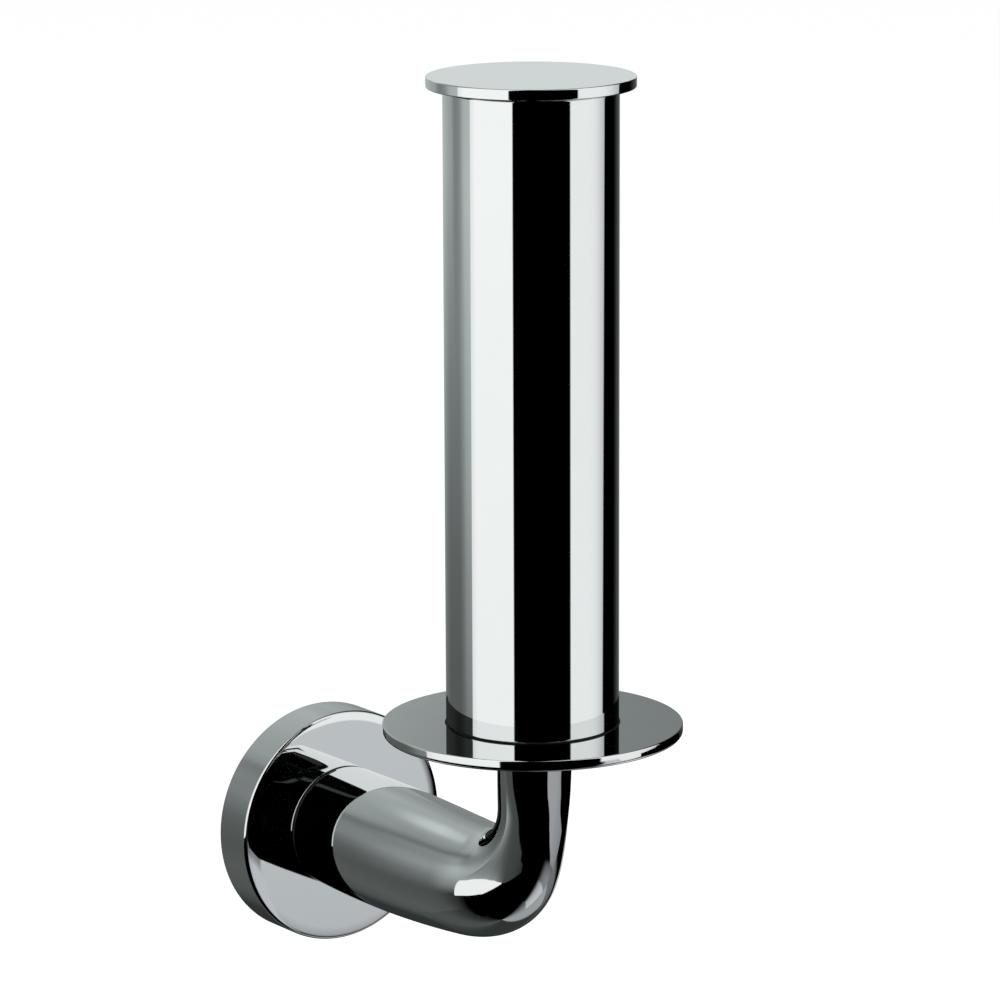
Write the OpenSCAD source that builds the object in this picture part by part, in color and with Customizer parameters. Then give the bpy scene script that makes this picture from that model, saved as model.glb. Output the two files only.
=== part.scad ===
// Wall holder for one upright spare roll of toilet paper: rosette, cast arm, flange, tube and cap.
// Millimetres. The origin is the rosette's centre on the wall, the arm runs out along -Y, +Z is up.

/* [Post] */
// Distance from the wall to the post's axis
reach = 77; // [68:1:100]
// Outer diameter of the tube
tube_d = 34.5; // [30:0.5:38]
// Wall of the tube
tube_wall = 1; // [0.8:0.1:1.6]
// Length of the tube
tube_h = 127.5; // [90:0.5:150]
// How far the cap stands out past the tube
cap_overhang = 3.3; // [1:0.05:5]
// Thickness of the cap
cap_t = 2.2; // [1.8:0.1:4]

/* [Flange] */
// Diameter of the flange that the roll stands on
flange_d = 60; // [50:1:80]
// Thickness of the flange
flange_t = 2.3; // [2:0.1:4]
// Depth of the recess that centres the tube on the flange
seat_depth = 0.7; // [0.5:0.1:1]
// Height of the flange's underside above the rosette's centre
flange_z = 35; // [32:1:60]

/* [Arm] */
// Diameter of the arm at the rosette
foot_d = 25.8; // [22:0.2:32]
// Diameter of the arm where the elbow starts
elbow_d = 23.8; // [20:0.2:26]
// How much the arm's upper side swells halfway out
swell = 0.3; // [0:0.05:1]
// How much the arm's underside sags halfway out
sag = 0.95; // [0:0.05:2]
// Diameter of the stem
stem_d = 15; // [13:0.2:18]
// How far the stem's axis stands outside the post's axis
stem_lean = 0.55; // [0:0.05:1]
// Radius of the inside of the elbow
crotch_r = 8; // [3:0.1:9]
// Length of the elbow's outer curve along the arm
sweep_out = 27.2; // [22:0.1:34]
// Height of the elbow's outer curve along the stem
sweep_up = 43.1; // [30:0.1:44]

/* [Rosette] */
// Diameter of the rosette
rosette_d = 49.6; // [46:0.2:60]
// Distance from the wall to the rosette's face
rosette_depth = 9.4; // [9.2:0.2:14]
// Wall of the rosette's skirt
skirt_t = 1.3; // [1:0.1:2]
// Thickness of the rosette's face
face_t = 2.2; // [1.8:0.1:2.4]
// Radius of the rosette's front edge
edge_r = 0.7; // [0.3:0.1:1.2]
// Width of the band where the rosette's face falls off towards its edge
fall_w = 2.3; // [1:0.1:4]

/* [Wall plate] */
// Diameter of the wall plate
plate_d = 40; // [38:0.5:41]
// Thickness of the wall plate at its rim
plate_t = 4.4; // [4:0.1:4.8]
// Thickness of the wall plate's web
web_t = 2; // [1.6:0.1:2.6]
// Distance between the two screw slots
slot_spacing = 26; // [25:0.5:27]
// Width of a screw slot
slot_w = 5; // [4:0.1:5.2]
// Length of a screw slot, end to end
slot_l = 7; // [6:0.1:7.4]
// Thickness of the foam pad behind the wall plate
pad_t = 0.8; // [0.5:0.1:1]

/* [Fasteners] */
// Thread of the tie rod through the post
rod_d = 6; // [5:0.5:8]
// Thread of the screw that holds the arm
screw_d = 6; // [5:0.5:6]
// Thread of the set screw under the rosette
grub_d = 5; // [4:0.5:6]
// Diameter of the pin that stops the arm from turning
pin_d = 2.5; // [2:0.5:3]

/* [Hidden] */
$fn = 96;

// One overrun for every cut, and the clearances
over = 1;
thread_play = 0.05;
pass_play = 0.25;
fit_play = 0.08;

// Radii of the main rounds
tube_r = tube_d / 2;
bore_r = tube_r - tube_wall;
cap_r = tube_r + cap_overhang;
flange_r = flange_d / 2;
foot_r = foot_d / 2;
elbow_r = elbow_d / 2;
stem_r = stem_d / 2;
rosette_r = rosette_d / 2;
plate_r = plate_d / 2;

// Thin rings that part the metal pieces, drawn back from the outside
gasket_t = 0.3;
gasket_inset = 0.35;

// Heights up the post
stem_top_z = flange_z - gasket_t;
seat_z = flange_z + flange_t - seat_depth;
tube_z = seat_z + gasket_t;
head_z = tube_z + tube_h;
cap_z = head_z + gasket_t;

// Small edges
cap_edge = 0.3;
flange_edge_high = 0.3;
flange_edge_low = 0.6;
tube_edge = 0.25;
seat_play = 0.15;

// Fasteners through the post, as shares of the rod's thread
rod_r = rod_d / 2;
nut_flats_share = 5 / 3;
nut_h_share = 5 / 6;
washer_d_share = 2;
washer_t_share = 4 / 15;
nut_r = rod_r * nut_flats_share / cos(30);
nut_h = rod_d * nut_h_share;
washer_r = rod_r * washer_d_share;
washer_t = rod_d * washer_t_share;
rod_grip = 16;
rod_end_gap = 0.7;
rod_chamfer = 0.6;

// The cap's boss takes the rod's upper end
boss_r = rod_r * washer_d_share;
boss_h = 12;
boss_roof = 1.5;
rod_foot_z = stem_top_z - rod_grip;
rod_head_z = cap_z - boss_roof - rod_end_gap;

// Plugs in the two ends of the tube, with a groove for a rubber ring
plug_r = bore_r - fit_play;
plug_h = 12;
plug_well = 6;
well_play = 0.6;
ring_wire_r = 0.9;
ring_r = bore_r - ring_wire_r;
groove_w = 2.4;

// How far the rosette's face falls off at its edge
fall_t = 0.1;

// Behind the rosette's face: screw, washers, pin
foot_y = rosette_depth + gasket_t;
back_y = rosette_depth - face_t;
spigot_r = 6;
spigot_short = 0.2;
screw_r = screw_d / 2;
head_r_share = 5 / 3;
head_h_share = 2 / 3;
socket_share = 1 / 3;
head_r = screw_r * head_r_share;
head_h = screw_d * head_h_share;
screw_grip = 12;
clamp_share = 0.62;
clamp_r = foot_r * clamp_share;
clamp_t = 1.5;
spring_t = 1.1;
spring_gap = 1.2;
spring_rim = 0.4;
pin_r = pin_d / 2;
pin_margin = 0.3;
pin_at = clamp_r + pin_r + pin_margin;
pin_deep = 4;

// Wall plate: the head of the arm's screw stands in its middle
hole_play = 1.6;
plate_hole_r = head_r + hole_play;
collar_t = 1.4;
rim_t = 2.4;
groove_deep = 1.4;
groove_share = 0.6;
groove_at = pad_t + plate_t * groove_share;
pad_inset = 0.5;

// Blocks inside the skirt: the lowest takes the set screw, the other two rest on the plate
block_w = 9;
block_low = 0.5;
rest_gap = 0.15;
grub_r = grub_d / 2;
grub_sink = 0.4;
grub_tip_gap = 0.1;
grub_socket_share = 0.5;

// The arm in the plane x = 0, as [distance from the wall, height]: centre of the crotch's round,
// and where the outer curve leaves the straight underside and reaches the stem
stem_u = reach + stem_lean;
crotch = [stem_u - stem_r - crotch_r, elbow_r + crotch_r];
sweep_foot = [stem_u + stem_r - sweep_out, -elbow_r];
sweep_head = [stem_u + stem_r, sweep_up - elbow_r];
sweep_pull = [0.68, 0.63];

// Lengths along the arm's upper side. The rings turn a little before the crotch and after it.
arm_l = crotch[0] - foot_y;
crotch_l = PI * crotch_r / 2;
upper_l = arm_l + crotch_l + stem_top_z - crotch[1];
turn_lead = 7.6;
turn_tail = 3.7;
turn_l = turn_lead + crotch_l + turn_tail;
arm_sides = 48;
arm_steps = 8;
elbow_steps = 26;
stem_steps = 2;
sweep_steps = 40;

// Local +Z of what is drawn inside points away from the wall, and local +Y points up
module off_wall(y = 0) rotate([90, 0, 0]) translate([0, 0, y]) children();

// Runs from 0 to 1 without a corner at either end
function smooth(x) = let (t = min(max(x, 0), 1)) t * t * (3 - 2 * t);

// Point of the upper side at a distance along it: the arm, the crotch's round, the stem
function upper(s) =
    s < arm_l ? let (t = s / arm_l)
        [foot_y + s, foot_r + (elbow_r - foot_r) * smooth(t) + swell * pow(4 * t * (1 - t), 2)]
    : s < arm_l + crotch_l ? let (a = 90 * (s - arm_l) / crotch_l) crotch + crotch_r * [sin(a), -cos(a)]
    : [stem_u - stem_r, crotch[1] + s - arm_l - crotch_l];

// Point of the straight underside at a share of its length, and its slope at the far end
function under(t) = [foot_y + (sweep_foot[0] - foot_y) * t,
    -foot_r + (foot_r - elbow_r) * t - 4 * sag * t * (1 - t)];
under_end = [sweep_foot[0] - foot_y, foot_r - elbow_r + 4 * sag];

// Cubic curve with the ends a and d and the handles b and c
function cubic(a, b, c, d, t) = pow(1 - t, 3) * a + 3 * pow(1 - t, 2) * t * b
    + 3 * (1 - t) * t * t * c + pow(t, 3) * d;

// Underside, outer curve and outer side of the stem as one line of points
lower = [
    for (i = [0 : arm_steps - 1]) under(i / arm_steps),
    for (i = [0 : sweep_steps])
        cubic(sweep_foot, sweep_foot + sweep_pull[0] * sweep_out * under_end / norm(under_end),
              sweep_head - [0, sweep_pull[1] * sweep_up], sweep_head, i / sweep_steps),
    [sweep_head[0], stem_top_z + over]
];

// Where the lower line is met from the point p in the direction d
function turned(a, b) = a[0] * b[1] - a[1] * b[0];
function opposite(p, d) =
    let (side = [for (q = lower) turned(d, q - p)],
         i = len([for (v = side) if (v <= 0) v]),
         t = side[i - 1] / (side[i - 1] - side[i]))
    lower[i - 1] + t * (lower[i] - lower[i - 1]);

// Pairs of points, upper and lower, that each ring of the arm spans
ring_at = [
    for (i = [0 : arm_steps - 1]) (arm_l - turn_lead) * i / arm_steps,
    for (i = [0 : elbow_steps]) arm_l - turn_lead + turn_l * i / elbow_steps,
    for (i = [1 : stem_steps]) upper_l + (arm_l - turn_lead + turn_l - upper_l) * (1 - i / stem_steps)
];
arm_pairs = [
    for (s = ring_at)
        let (a = 90 * smooth((s - arm_l + turn_lead) / turn_l), p = upper(s))
        [p, opposite(p, [sin(a), -cos(a)])]
];

// A round ring between two points of the plane x = 0
function ring_points(pair) =
    let (c = (pair[0] + pair[1]) / 2, h = (pair[1] - pair[0]) / 2)
    [for (k = [0 : arm_sides - 1])
        let (a = 360 * k / arm_sides, p = c + h * cos(a))
        [norm(h) * sin(a), -p[0], p[1]]];

// A closed skin over rings that all have the same number of points
module skin(rings) {
    n = len(rings[0]);
    last = len(rings) - 1;
    points = [for (r = rings) each r];
    sides = [for (i = [0 : last - 1], k = [0 : n - 1])
        let (a = i * n + k, b = i * n + (k + 1) % n)
        each [[a, a + n, b], [b, a + n, b + n]]];
    ends = [[for (k = [0 : n - 1]) k], [for (k = [n - 1 : -1 : 0]) last * n + k]];
    polyhedron(points, concat(sides, ends));
}

module ring(outer, inner, height) {
    difference() {
        cylinder(r = outer, h = height);
        translate([0, 0, -over]) cylinder(r = inner, h = height + 2 * over);
    }
}

// A solid disc's half section with its lower and upper outer edges rounded
module round_edges(r, height, low, high) {
    square([r - low, height]);
    translate([0, low]) square([r - high, height - low]);
    translate([0, low]) square([r, height - low - high]);
    translate([r - low, low]) circle(r = low);
    translate([r - high, height - high]) circle(r = high);
}

// The same with small straight chamfers
module chamfered(r, height, edge) {
    polygon([[0, 0], [r - edge, 0], [r, edge], [r, height - edge], [r - edge, height], [0, height]]);
}

module hexagon(r, height) cylinder(r = r, h = height, $fn = 6);

// The two screw slots of the plate, and of the pad behind it, with room round them
module slots(room = 0) {
    w = slot_w / 2 + room;
    half = (slot_l - slot_w) / 2;
    for (side = [-1, 1]) translate([side * slot_spacing / 2, 0, -over]) {
        for (end = [-1, 1]) translate([end * half, 0, 0]) cylinder(r = w, h = plate_t + 2 * over);
        translate([-half, -w, 0]) cube([2 * half, 2 * w, plate_t + 2 * over]);
    }
}

module wall_pad() {
    color("dimgray") off_wall() difference() {
        ring(plate_r - pad_inset, plate_hole_r, pad_t);
        slots(pad_inset);
    }
}

module wall_plate() {
    color("gainsboro") off_wall(pad_t) difference() {
        union() {
            ring(plate_r, plate_hole_r, web_t);
            ring(plate_r, plate_r - rim_t, plate_t);
            ring(plate_hole_r + collar_t, plate_hole_r, plate_t);
        }
        slots();
        rotate_extrude() translate([plate_r - groove_deep, groove_at - pad_t])
            polygon([[0, 0], [groove_deep + over, -groove_deep - over], [groove_deep + over, groove_deep + over]]);
    }
}

module grub_screw() {
    tip_y = plate_r - groove_deep + grub_tip_gap;
    shank_r = grub_r - thread_play;
    end_y = rosette_r - grub_sink;
    socket_r = grub_r * grub_socket_share / cos(30);
    color("dimgray") off_wall(groove_at) rotate([90, 0, 0]) difference() {
        union() {
            translate([0, 0, tip_y]) cylinder(r1 = 0, r2 = shank_r, h = shank_r);
            translate([0, 0, tip_y + shank_r]) cylinder(r = shank_r, h = end_y - tip_y - shank_r);
        }
        translate([0, 0, end_y - grub_r]) hexagon(socket_r, grub_r + over);
    }
}

// One block inside the skirt, pointing down, that ends the given gap short of the plate
module block(gap) {
    intersection() {
        translate([0, 0, block_low])
            ring(rosette_r - skirt_t / 2, plate_r + gap, back_y + face_t / 2 - block_low);
        translate([-block_w / 2, -rosette_r, 0]) cube([block_w, rosette_r, rosette_depth]);
    }
}

module rosette() {
    color("silver") off_wall() difference() {
        union() {
            rotate_extrude() difference() {
                union() {
                    polygon([[0, 0], [rosette_r, 0], [rosette_r, rosette_depth - fall_t - edge_r],
                             [rosette_r - edge_r, rosette_depth - fall_t],
                             [rosette_r - edge_r - fall_w, rosette_depth], [0, rosette_depth]]);
                    translate([rosette_r - edge_r, rosette_depth - fall_t - edge_r]) circle(r = edge_r);
                }
                translate([0, -over]) square([rosette_r - skirt_t, back_y + over]);
            }
            block(2 * rest_gap);
            for (side = [-1, 1]) rotate([0, 0, 120 * side]) block(rest_gap);
        }
        cylinder(r = spigot_r + fit_play, h = rosette_depth + over);
        translate([0, pin_at, 0]) cylinder(r = pin_r + fit_play, h = rosette_depth + over);
        translate([0, 0, groove_at]) rotate([90, 0, 0]) cylinder(r = grub_r, h = rosette_r + over);
    }
}

module spring_washer() {
    outer = head_r + spring_rim;
    color("gray") off_wall(back_y - clamp_t - spring_t) difference() {
        ring(outer, screw_r + pass_play, spring_t);
        translate([0, -spring_gap / 2, -over]) cube([outer + over, spring_gap, spring_t + 2 * over]);
    }
}

module clamp_washer() {
    color("darkgray") off_wall(back_y - clamp_t) ring(clamp_r, screw_r + pass_play, clamp_t);
}

module arm_screw() {
    head_y = back_y - clamp_t - spring_t - head_h;
    color("gray") off_wall(head_y) difference() {
        union() {
            cylinder(r = head_r, h = head_h);
            cylinder(r = screw_r - thread_play, h = foot_y + screw_grip - head_y);
        }
        translate([0, 0, -over]) hexagon(screw_d * socket_share / cos(30), head_h / 2 + over);
    }
}

module locating_pin() {
    color("lightgray") off_wall(back_y) translate([0, pin_at, 0])
        cylinder(r = pin_r, h = foot_y + pin_deep - back_y);
}

module arm_gasket() {
    color("black") off_wall(rosette_depth) difference() {
        ring(foot_r - gasket_inset, spigot_r + fit_play, gasket_t);
        translate([0, pin_at, -over]) cylinder(r = pin_r + fit_play, h = gasket_t + 2 * over);
    }
}

// Round arm that bends up and thins into the stem: its rings turn with the elbow
module arm() {
    color("silver") difference() {
        union() {
            skin([for (pair = arm_pairs) ring_points(pair)]);
            off_wall(back_y + spigot_short) cylinder(r = spigot_r, h = face_t + gasket_t);
        }
        off_wall() cylinder(r = screw_r, h = foot_y + screw_grip + rod_end_gap);
        off_wall() translate([0, pin_at, 0]) cylinder(r = pin_r + fit_play, h = foot_y + pin_deep + rod_end_gap);
        translate([0, -reach, rod_foot_z - rod_end_gap]) cylinder(r = rod_r, h = rod_grip + rod_end_gap + over);
    }
}

module stem_gasket() {
    color("black") translate([0, -reach, stem_top_z]) difference() {
        translate([0, -stem_lean, 0]) cylinder(r = stem_r - gasket_inset, h = gasket_t);
        translate([0, 0, -over]) cylinder(r = rod_r + pass_play, h = gasket_t + 2 * over);
    }
}

module flange() {
    color("silver") translate([0, -reach, flange_z]) difference() {
        rotate_extrude() round_edges(flange_r, flange_t, flange_edge_low, flange_edge_high);
        translate([0, 0, flange_t - seat_depth]) cylinder(r = tube_r + seat_play, h = seat_depth + over);
        translate([0, 0, -over]) cylinder(r = rod_r + pass_play, h = flange_t + 2 * over);
    }
}

module foot_ring() {
    color("black") translate([0, -reach, seat_z]) ring(tube_r, bore_r, gasket_t);
}

module plug_groove(z) {
    translate([0, 0, z - groove_w / 2]) ring(plug_r + over, ring_r - ring_wire_r, groove_w);
}

// A rubber ring in a plug's groove, against the tube's bore
module rubber_ring(z) {
    color("black") translate([0, -reach, z]) rotate_extrude() translate([ring_r, 0]) circle(r = ring_wire_r);
}

module lower_plug() {
    floor_h = plug_h - plug_well;
    color("ivory") translate([0, -reach, seat_z]) difference() {
        cylinder(r = plug_r, h = plug_h);
        translate([0, 0, floor_h]) cylinder(r = washer_r + well_play, h = plug_well + over);
        translate([0, 0, -over]) cylinder(r = rod_r + pass_play, h = plug_h);
        plug_groove(plug_h / 2);
    }
}

module lower_ring() rubber_ring(seat_z + plug_h / 2);

module rod_washer() {
    color("gray") translate([0, -reach, seat_z + plug_h - plug_well]) ring(washer_r, rod_r + pass_play, washer_t);
}

module rod_nut() {
    bevel = (nut_r - rod_r * nut_flats_share) / 2;
    color("gray") translate([0, -reach, seat_z + plug_h - plug_well + washer_t]) difference() {
        intersection() {
            hexagon(nut_r, nut_h);
            rotate_extrude() chamfered(nut_r, nut_h, bevel);
        }
        translate([0, 0, -over]) cylinder(r = rod_r, h = nut_h + 2 * over);
    }
}

module tie_rod() {
    color("gray") translate([0, -reach, rod_foot_z])
        rotate_extrude() chamfered(rod_r - thread_play, rod_head_z - rod_foot_z, rod_chamfer);
}

module tube() {
    color("silver") translate([0, -reach, tube_z]) difference() {
        rotate_extrude() chamfered(tube_r, tube_h, tube_edge);
        translate([0, 0, -over]) cylinder(r = bore_r, h = tube_h + 2 * over);
    }
}

module upper_plug() {
    color("ivory") translate([0, -reach, head_z - plug_h]) difference() {
        cylinder(r = plug_r, h = plug_h);
        translate([0, 0, -over]) cylinder(r = boss_r + pass_play, h = plug_h + 2 * over);
        plug_groove(plug_h / 2);
    }
}

module upper_ring() rubber_ring(head_z - plug_h / 2);

module head_ring() {
    color("black") translate([0, -reach, head_z]) ring(tube_r - gasket_inset, bore_r, gasket_t);
}

module cap() {
    color("silver") translate([0, -reach, cap_z]) difference() {
        union() {
            rotate_extrude() chamfered(cap_r, cap_t, cap_edge);
            translate([0, 0, -boss_h]) cylinder(r = boss_r, h = boss_h + cap_t / 2);
        }
        translate([0, 0, -boss_h - over]) cylinder(r = rod_r, h = boss_h - boss_roof + over);
    }
}

wall_pad();
wall_plate();
grub_screw();
rosette();
spring_washer();
clamp_washer();
arm_screw();
locating_pin();
arm_gasket();
arm();
stem_gasket();
flange();
foot_ring();
lower_plug();
lower_ring();
rod_washer();
rod_nut();
tie_rod();
tube();
upper_plug();
upper_ring();
head_ring();
cap();
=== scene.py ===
"""Looks of a wall holder for one upright spare roll of toilet paper.

Everything is in metres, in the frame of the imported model: the rosette's centre on the wall is the
origin, the arm runs out along -Y and the post stands up along +Z.
"""

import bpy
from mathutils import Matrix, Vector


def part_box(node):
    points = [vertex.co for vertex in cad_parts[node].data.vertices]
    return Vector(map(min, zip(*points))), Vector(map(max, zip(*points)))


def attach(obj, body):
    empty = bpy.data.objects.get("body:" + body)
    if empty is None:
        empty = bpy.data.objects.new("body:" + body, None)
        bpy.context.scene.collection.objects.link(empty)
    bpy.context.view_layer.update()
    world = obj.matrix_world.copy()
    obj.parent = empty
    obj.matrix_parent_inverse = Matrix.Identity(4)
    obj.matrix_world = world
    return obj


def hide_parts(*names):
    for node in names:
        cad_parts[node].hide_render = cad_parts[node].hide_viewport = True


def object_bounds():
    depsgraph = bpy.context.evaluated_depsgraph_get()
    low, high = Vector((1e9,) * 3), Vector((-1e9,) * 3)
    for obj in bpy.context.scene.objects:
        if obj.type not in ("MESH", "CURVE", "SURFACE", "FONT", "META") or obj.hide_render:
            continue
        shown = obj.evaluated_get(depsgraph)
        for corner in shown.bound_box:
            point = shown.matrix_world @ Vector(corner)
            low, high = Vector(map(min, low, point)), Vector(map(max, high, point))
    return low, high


bl_info = {
    "name": "Vertical Toilet Paper Holder",
    "version": (1, 0, 0),
    "blender": (4, 5, 0),
    "location": "View3D > Sidebar > Holder",
    "description": "Models the holder's visible pieces round the fixed frame and sets up the studio",
    "category": "Object",
}

import math
from functools import cache

import bmesh
import bpy
from bpy.props import FloatProperty, FloatVectorProperty, IntProperty, PointerProperty
from mathutils import Matrix, Vector
from mathutils.geometry import interpolate_bezier

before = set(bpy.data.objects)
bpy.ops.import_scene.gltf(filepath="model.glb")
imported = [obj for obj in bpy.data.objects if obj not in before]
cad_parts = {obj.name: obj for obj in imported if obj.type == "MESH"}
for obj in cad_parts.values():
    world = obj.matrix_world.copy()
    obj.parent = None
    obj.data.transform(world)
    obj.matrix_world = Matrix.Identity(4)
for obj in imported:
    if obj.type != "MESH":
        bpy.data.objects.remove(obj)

MM = 0.001
BODY = "root"
FULL_TURN = 2 * math.pi
SMOOTH_ANGLE = math.radians(35)
MERGE_DISTANCE = 0.001 * MM
PIN_PLAY = 0.08 * MM
PIN_END_GAP = 0.7 * MM
FOAM_CELLS = 1800.0
FINE_SIDES = 256
FACING = 0.99
WHITE = (1, 1, 1, 1)
SENSOR_WIDTH = 36
CLIP_START = 0.01
CLIP_END = 50


def node_radius(node):
    """Outer radius of a round node that stands on the plane x = 0."""
    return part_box(node)[1].x


CAD_LOW, CAD_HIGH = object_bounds()
TUBE_LOW, TUBE_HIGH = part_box("tube")
CAP_LOW, CAP_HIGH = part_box("cap")
FLANGE_LOW, FLANGE_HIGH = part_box("flange")
GASKET_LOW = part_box("arm_gasket")[0]
ARM_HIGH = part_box("arm")[1]
ROD_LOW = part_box("tie_rod")[0]
POST_Y = (TUBE_LOW.y + TUBE_HIGH.y) / 2


def metres(label, description, default):
    """A length that a user may change."""
    return FloatProperty(name=label, description=description, default=default, unit="LENGTH")


def degrees(label, description, default):
    """An angle in degrees that a user may change."""
    return FloatProperty(name=label, description=description, default=math.radians(default), subtype="ANGLE")


def amount(label, description, default):
    """A plain number that a user may change."""
    return FloatProperty(name=label, description=description, default=default)


def part_of(label, description, default):
    """A share from 0 to 1 that a user may change."""
    return FloatProperty(name=label, description=description, default=default, subtype="FACTOR", min=0, max=1)


def steps_of(label, description, default):
    """A number of steps or sides that a user may change."""
    return IntProperty(name=label, description=description, default=default)


def place_of(label, description, default):
    """A place in the frame that a user may change."""
    return FloatVectorProperty(name=label, description=description, default=default, subtype="TRANSLATION")


def tint(label, description, default):
    """A colour that a user may change."""
    return FloatVectorProperty(name=label, description=description, default=default, subtype="COLOR",
                               min=0, max=1)


class PostSizes(bpy.types.PropertyGroup):
    """Sizes of the tube, the cap and the flange."""
    tube_wall: metres("Tube wall", "Wall of the tube", 1 * MM)
    tube_edge: metres("Tube edge", "Radius of the tube's end edges", 0.6 * MM)
    tube_sink: metres("Tube sink", "How far the tube's lower round sinks in its recess", 0.1 * MM)
    cap_thickness: metres("Cap thickness", "Thickness of the cap's disc", 2.2 * MM)
    cap_edge: metres("Cap edge", "Radius of the cap's two edges", 0.3 * MM)
    boss_radius: metres("Boss radius", "Radius of the threaded boss under the cap", 6 * MM)
    boss_roof: metres("Boss roof", "Metal left above the blind hole in the boss", 1.5 * MM)
    flange_top_edge: metres("Flange top edge", "Radius of the flange's upper edge", 0.3 * MM)
    flange_low_edge: metres("Flange lower edge", "Radius of the flange's lower edge", 0.9 * MM)
    seat_play: metres("Seat play", "Gap round the tube in the flange's recess", 0.25 * MM)
    seat_depth: metres("Seat depth", "Depth of the recess that centres the tube", 0.7 * MM)
    rod_radius: metres("Rod radius", "Radius of the thread of the tie rod", 3 * MM)
    rod_play: metres("Rod play", "Gap round the rod in the holes it passes", 0.25 * MM)


class RosetteSizes(bpy.types.PropertyGroup):
    """Sizes of the rosette."""
    skirt: metres("Skirt wall", "Wall of the rosette's skirt", 1.3 * MM)
    face: metres("Face thickness", "Thickness of the rosette's face", 2.2 * MM)
    edge: metres("Front edge", "Radius of the rosette's front edge", 0.7 * MM)
    rolled: metres("Rolled width", "Width of the rim that polishing has rolled off", 2.3 * MM)
    roll_angle: degrees("Roll angle", "Slope of the face where it meets the edge", 2.6)
    block_angle: degrees("Block angle", "Angle that one inner block spans", 22.5)
    block_gap: metres("Block gap", "Gap between an inner block and the wall plate", 0.2 * MM)
    block_low: metres("Block inset", "Distance from the wall to the inner blocks", 0.5 * MM)
    grub_radius: metres("Set screw radius", "Radius of the hole for the set screw", 2.5 * MM)


class ArmSizes(bpy.types.PropertyGroup):
    """Sizes of the cast arm."""
    foot: metres("Foot radius", "Radius of the arm at the rosette", 12.9 * MM)
    elbow: metres("Elbow radius", "Radius of the arm where the elbow starts", 11.9 * MM)
    swell: metres("Swell", "How much the upper side swells halfway out", 0.3 * MM)
    sag: metres("Sag", "How much the underside sags halfway out", 0.95 * MM)
    stem: metres("Stem radius", "Radius of the stem", 7.5 * MM)
    lean: metres("Stem lean", "How far the stem stands outside the post's axis", 0.55 * MM)
    crotch: metres("Crotch radius", "Radius of the inside of the elbow", 8 * MM)
    sweep_out: metres("Sweep length", "Length of the outer curve along the arm", 27.2 * MM)
    sweep_up: metres("Sweep height", "Height of the outer curve along the stem", 43.1 * MM)
    pull_out: part_of("Lower pull", "Share of the sweep's length that its handle takes", 0.68)
    pull_up: part_of("Upper pull", "Share of the sweep's height that its handle takes", 0.63)
    turn_lead: metres("Turn lead", "Where the rings start to turn before the crotch", 7.6 * MM)
    turn_tail: metres("Turn tail", "Where the rings stop turning past the crotch", 3.7 * MM)
    edge: metres("End edge", "Radius of the edges at the two ends", 0.35 * MM)
    spigot: metres("Spigot radius", "Radius of the spigot that centres the arm", 6 * MM)
    screw: metres("Screw radius", "Radius of the threaded hole in the foot", 3 * MM)
    screw_depth: metres("Screw depth", "Depth of the threaded hole in the foot", 12.7 * MM)
    sides: steps_of("Sides", "Points round each ring of the arm", 64)


class StudioSizes(bpy.types.PropertyGroup):
    """The camera, the floor, the light and the cards round the holder."""
    camera_place: place_of("Camera place", "Where the camera stands", (-0.58393, -0.86979, 0.30166))
    heading: degrees("Heading", "Turn of the camera round the vertical", -36.005)
    pitch: degrees("Pitch", "How far the camera looks down", 12.546)
    roll: degrees("Roll", "Turn of the camera round its own line of sight", -0.217)
    lens: FloatProperty(name="Lens", description="Focal length", default=183.84, subtype="DISTANCE_CAMERA")
    floor_drop: metres("Floor drop", "Distance from the rosette's foot to the floor", 0.26)
    floor_size: metres("Floor size", "Side of the floor", 16)
    floor_colour: tint("Floor colour", "Colour of the pale floor", (0.8, 0.8, 0.8))
    floor_glow: amount("Floor glow", "How much the floor shines for the camera", 0.5)
    room_light: amount("Room light", "Strength of the even light from all round", 0.6)
    lamp_power: FloatProperty(name="Lamp power", description="Power of the soft lamp overhead",
                              default=14, unit="POWER")
    lamp_size: metres("Lamp size", "Side of the soft lamp", 1.2)
    lamp_place: place_of("Lamp place", "Where the soft lamp hangs", (-0.5, -0.6, 1.6))
    tent_radius: metres("Tent radius", "Radius of the tent that shiny surfaces mirror", 0.3)
    tent_height: metres("Tent height", "Height of the tent over the floor", 1.2)
    tent_y: metres("Tent place", "Where the tent's axis stands along Y", -0.05)
    low_left_radius: metres("Left card radius", "From the post to the card by the elbow", 45 * MM)
    low_right_radius: metres("Right card radius", "From the post to the card by the stem", 31 * MM)
    low_card_line: metres("Low cards' line", "Height that the low cards are drawn from", -30 * MM)
    low_card_foot: metres("Low cards' foot", "Height of the low cards' lower edges", -90 * MM)
    left_card_top: metres("Left card top", "Height of the upper edge of the card by the elbow", 20 * MM)
    right_card_top: metres("Right card top", "Height of the upper edge of the card by the stem", 33 * MM)
    cap_card_rise: metres("Cap card rise", "From the cap to the foot of the card behind it", 1 * MM)
    cap_card_height: metres("Cap card height", "Height of the card behind the cap", 19 * MM)
    cap_card_tone: amount("Cap card tone", "Glow of the card behind the cap", 0.74)
    rim_flag_foot: metres("Rim flag foot", "Height of the black flag's lower edge", 22 * MM)
    rim_flag_top: metres("Rim flag top", "Top of the black flag that darkens the rim's foot", 31.3 * MM)
    sheet_sides: steps_of("Sheet sides", "Sides of the tent and of each round sheet", 720)
    # Painted shade: the rear cloth, and past the second mirror the whole tent, keep only these shares for
    # rays that met the holder's mirrors before.
    rear_later_shaded: part_of("Rear, later", "Share of the rear cloth that later mirrors see", 0.07)
    tent_last_shaded: part_of("Tent, last", "Share of the tent that mirrors past the second see", 0.06)
    cloth_colour: tint("Cloth colour", "Tint of the grey cards and cloths", (0.92, 1, 0.985))
    board_colour: tint("Board colour", "Tint of the grey boards on the right", (0.935, 0.961, 1))


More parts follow.
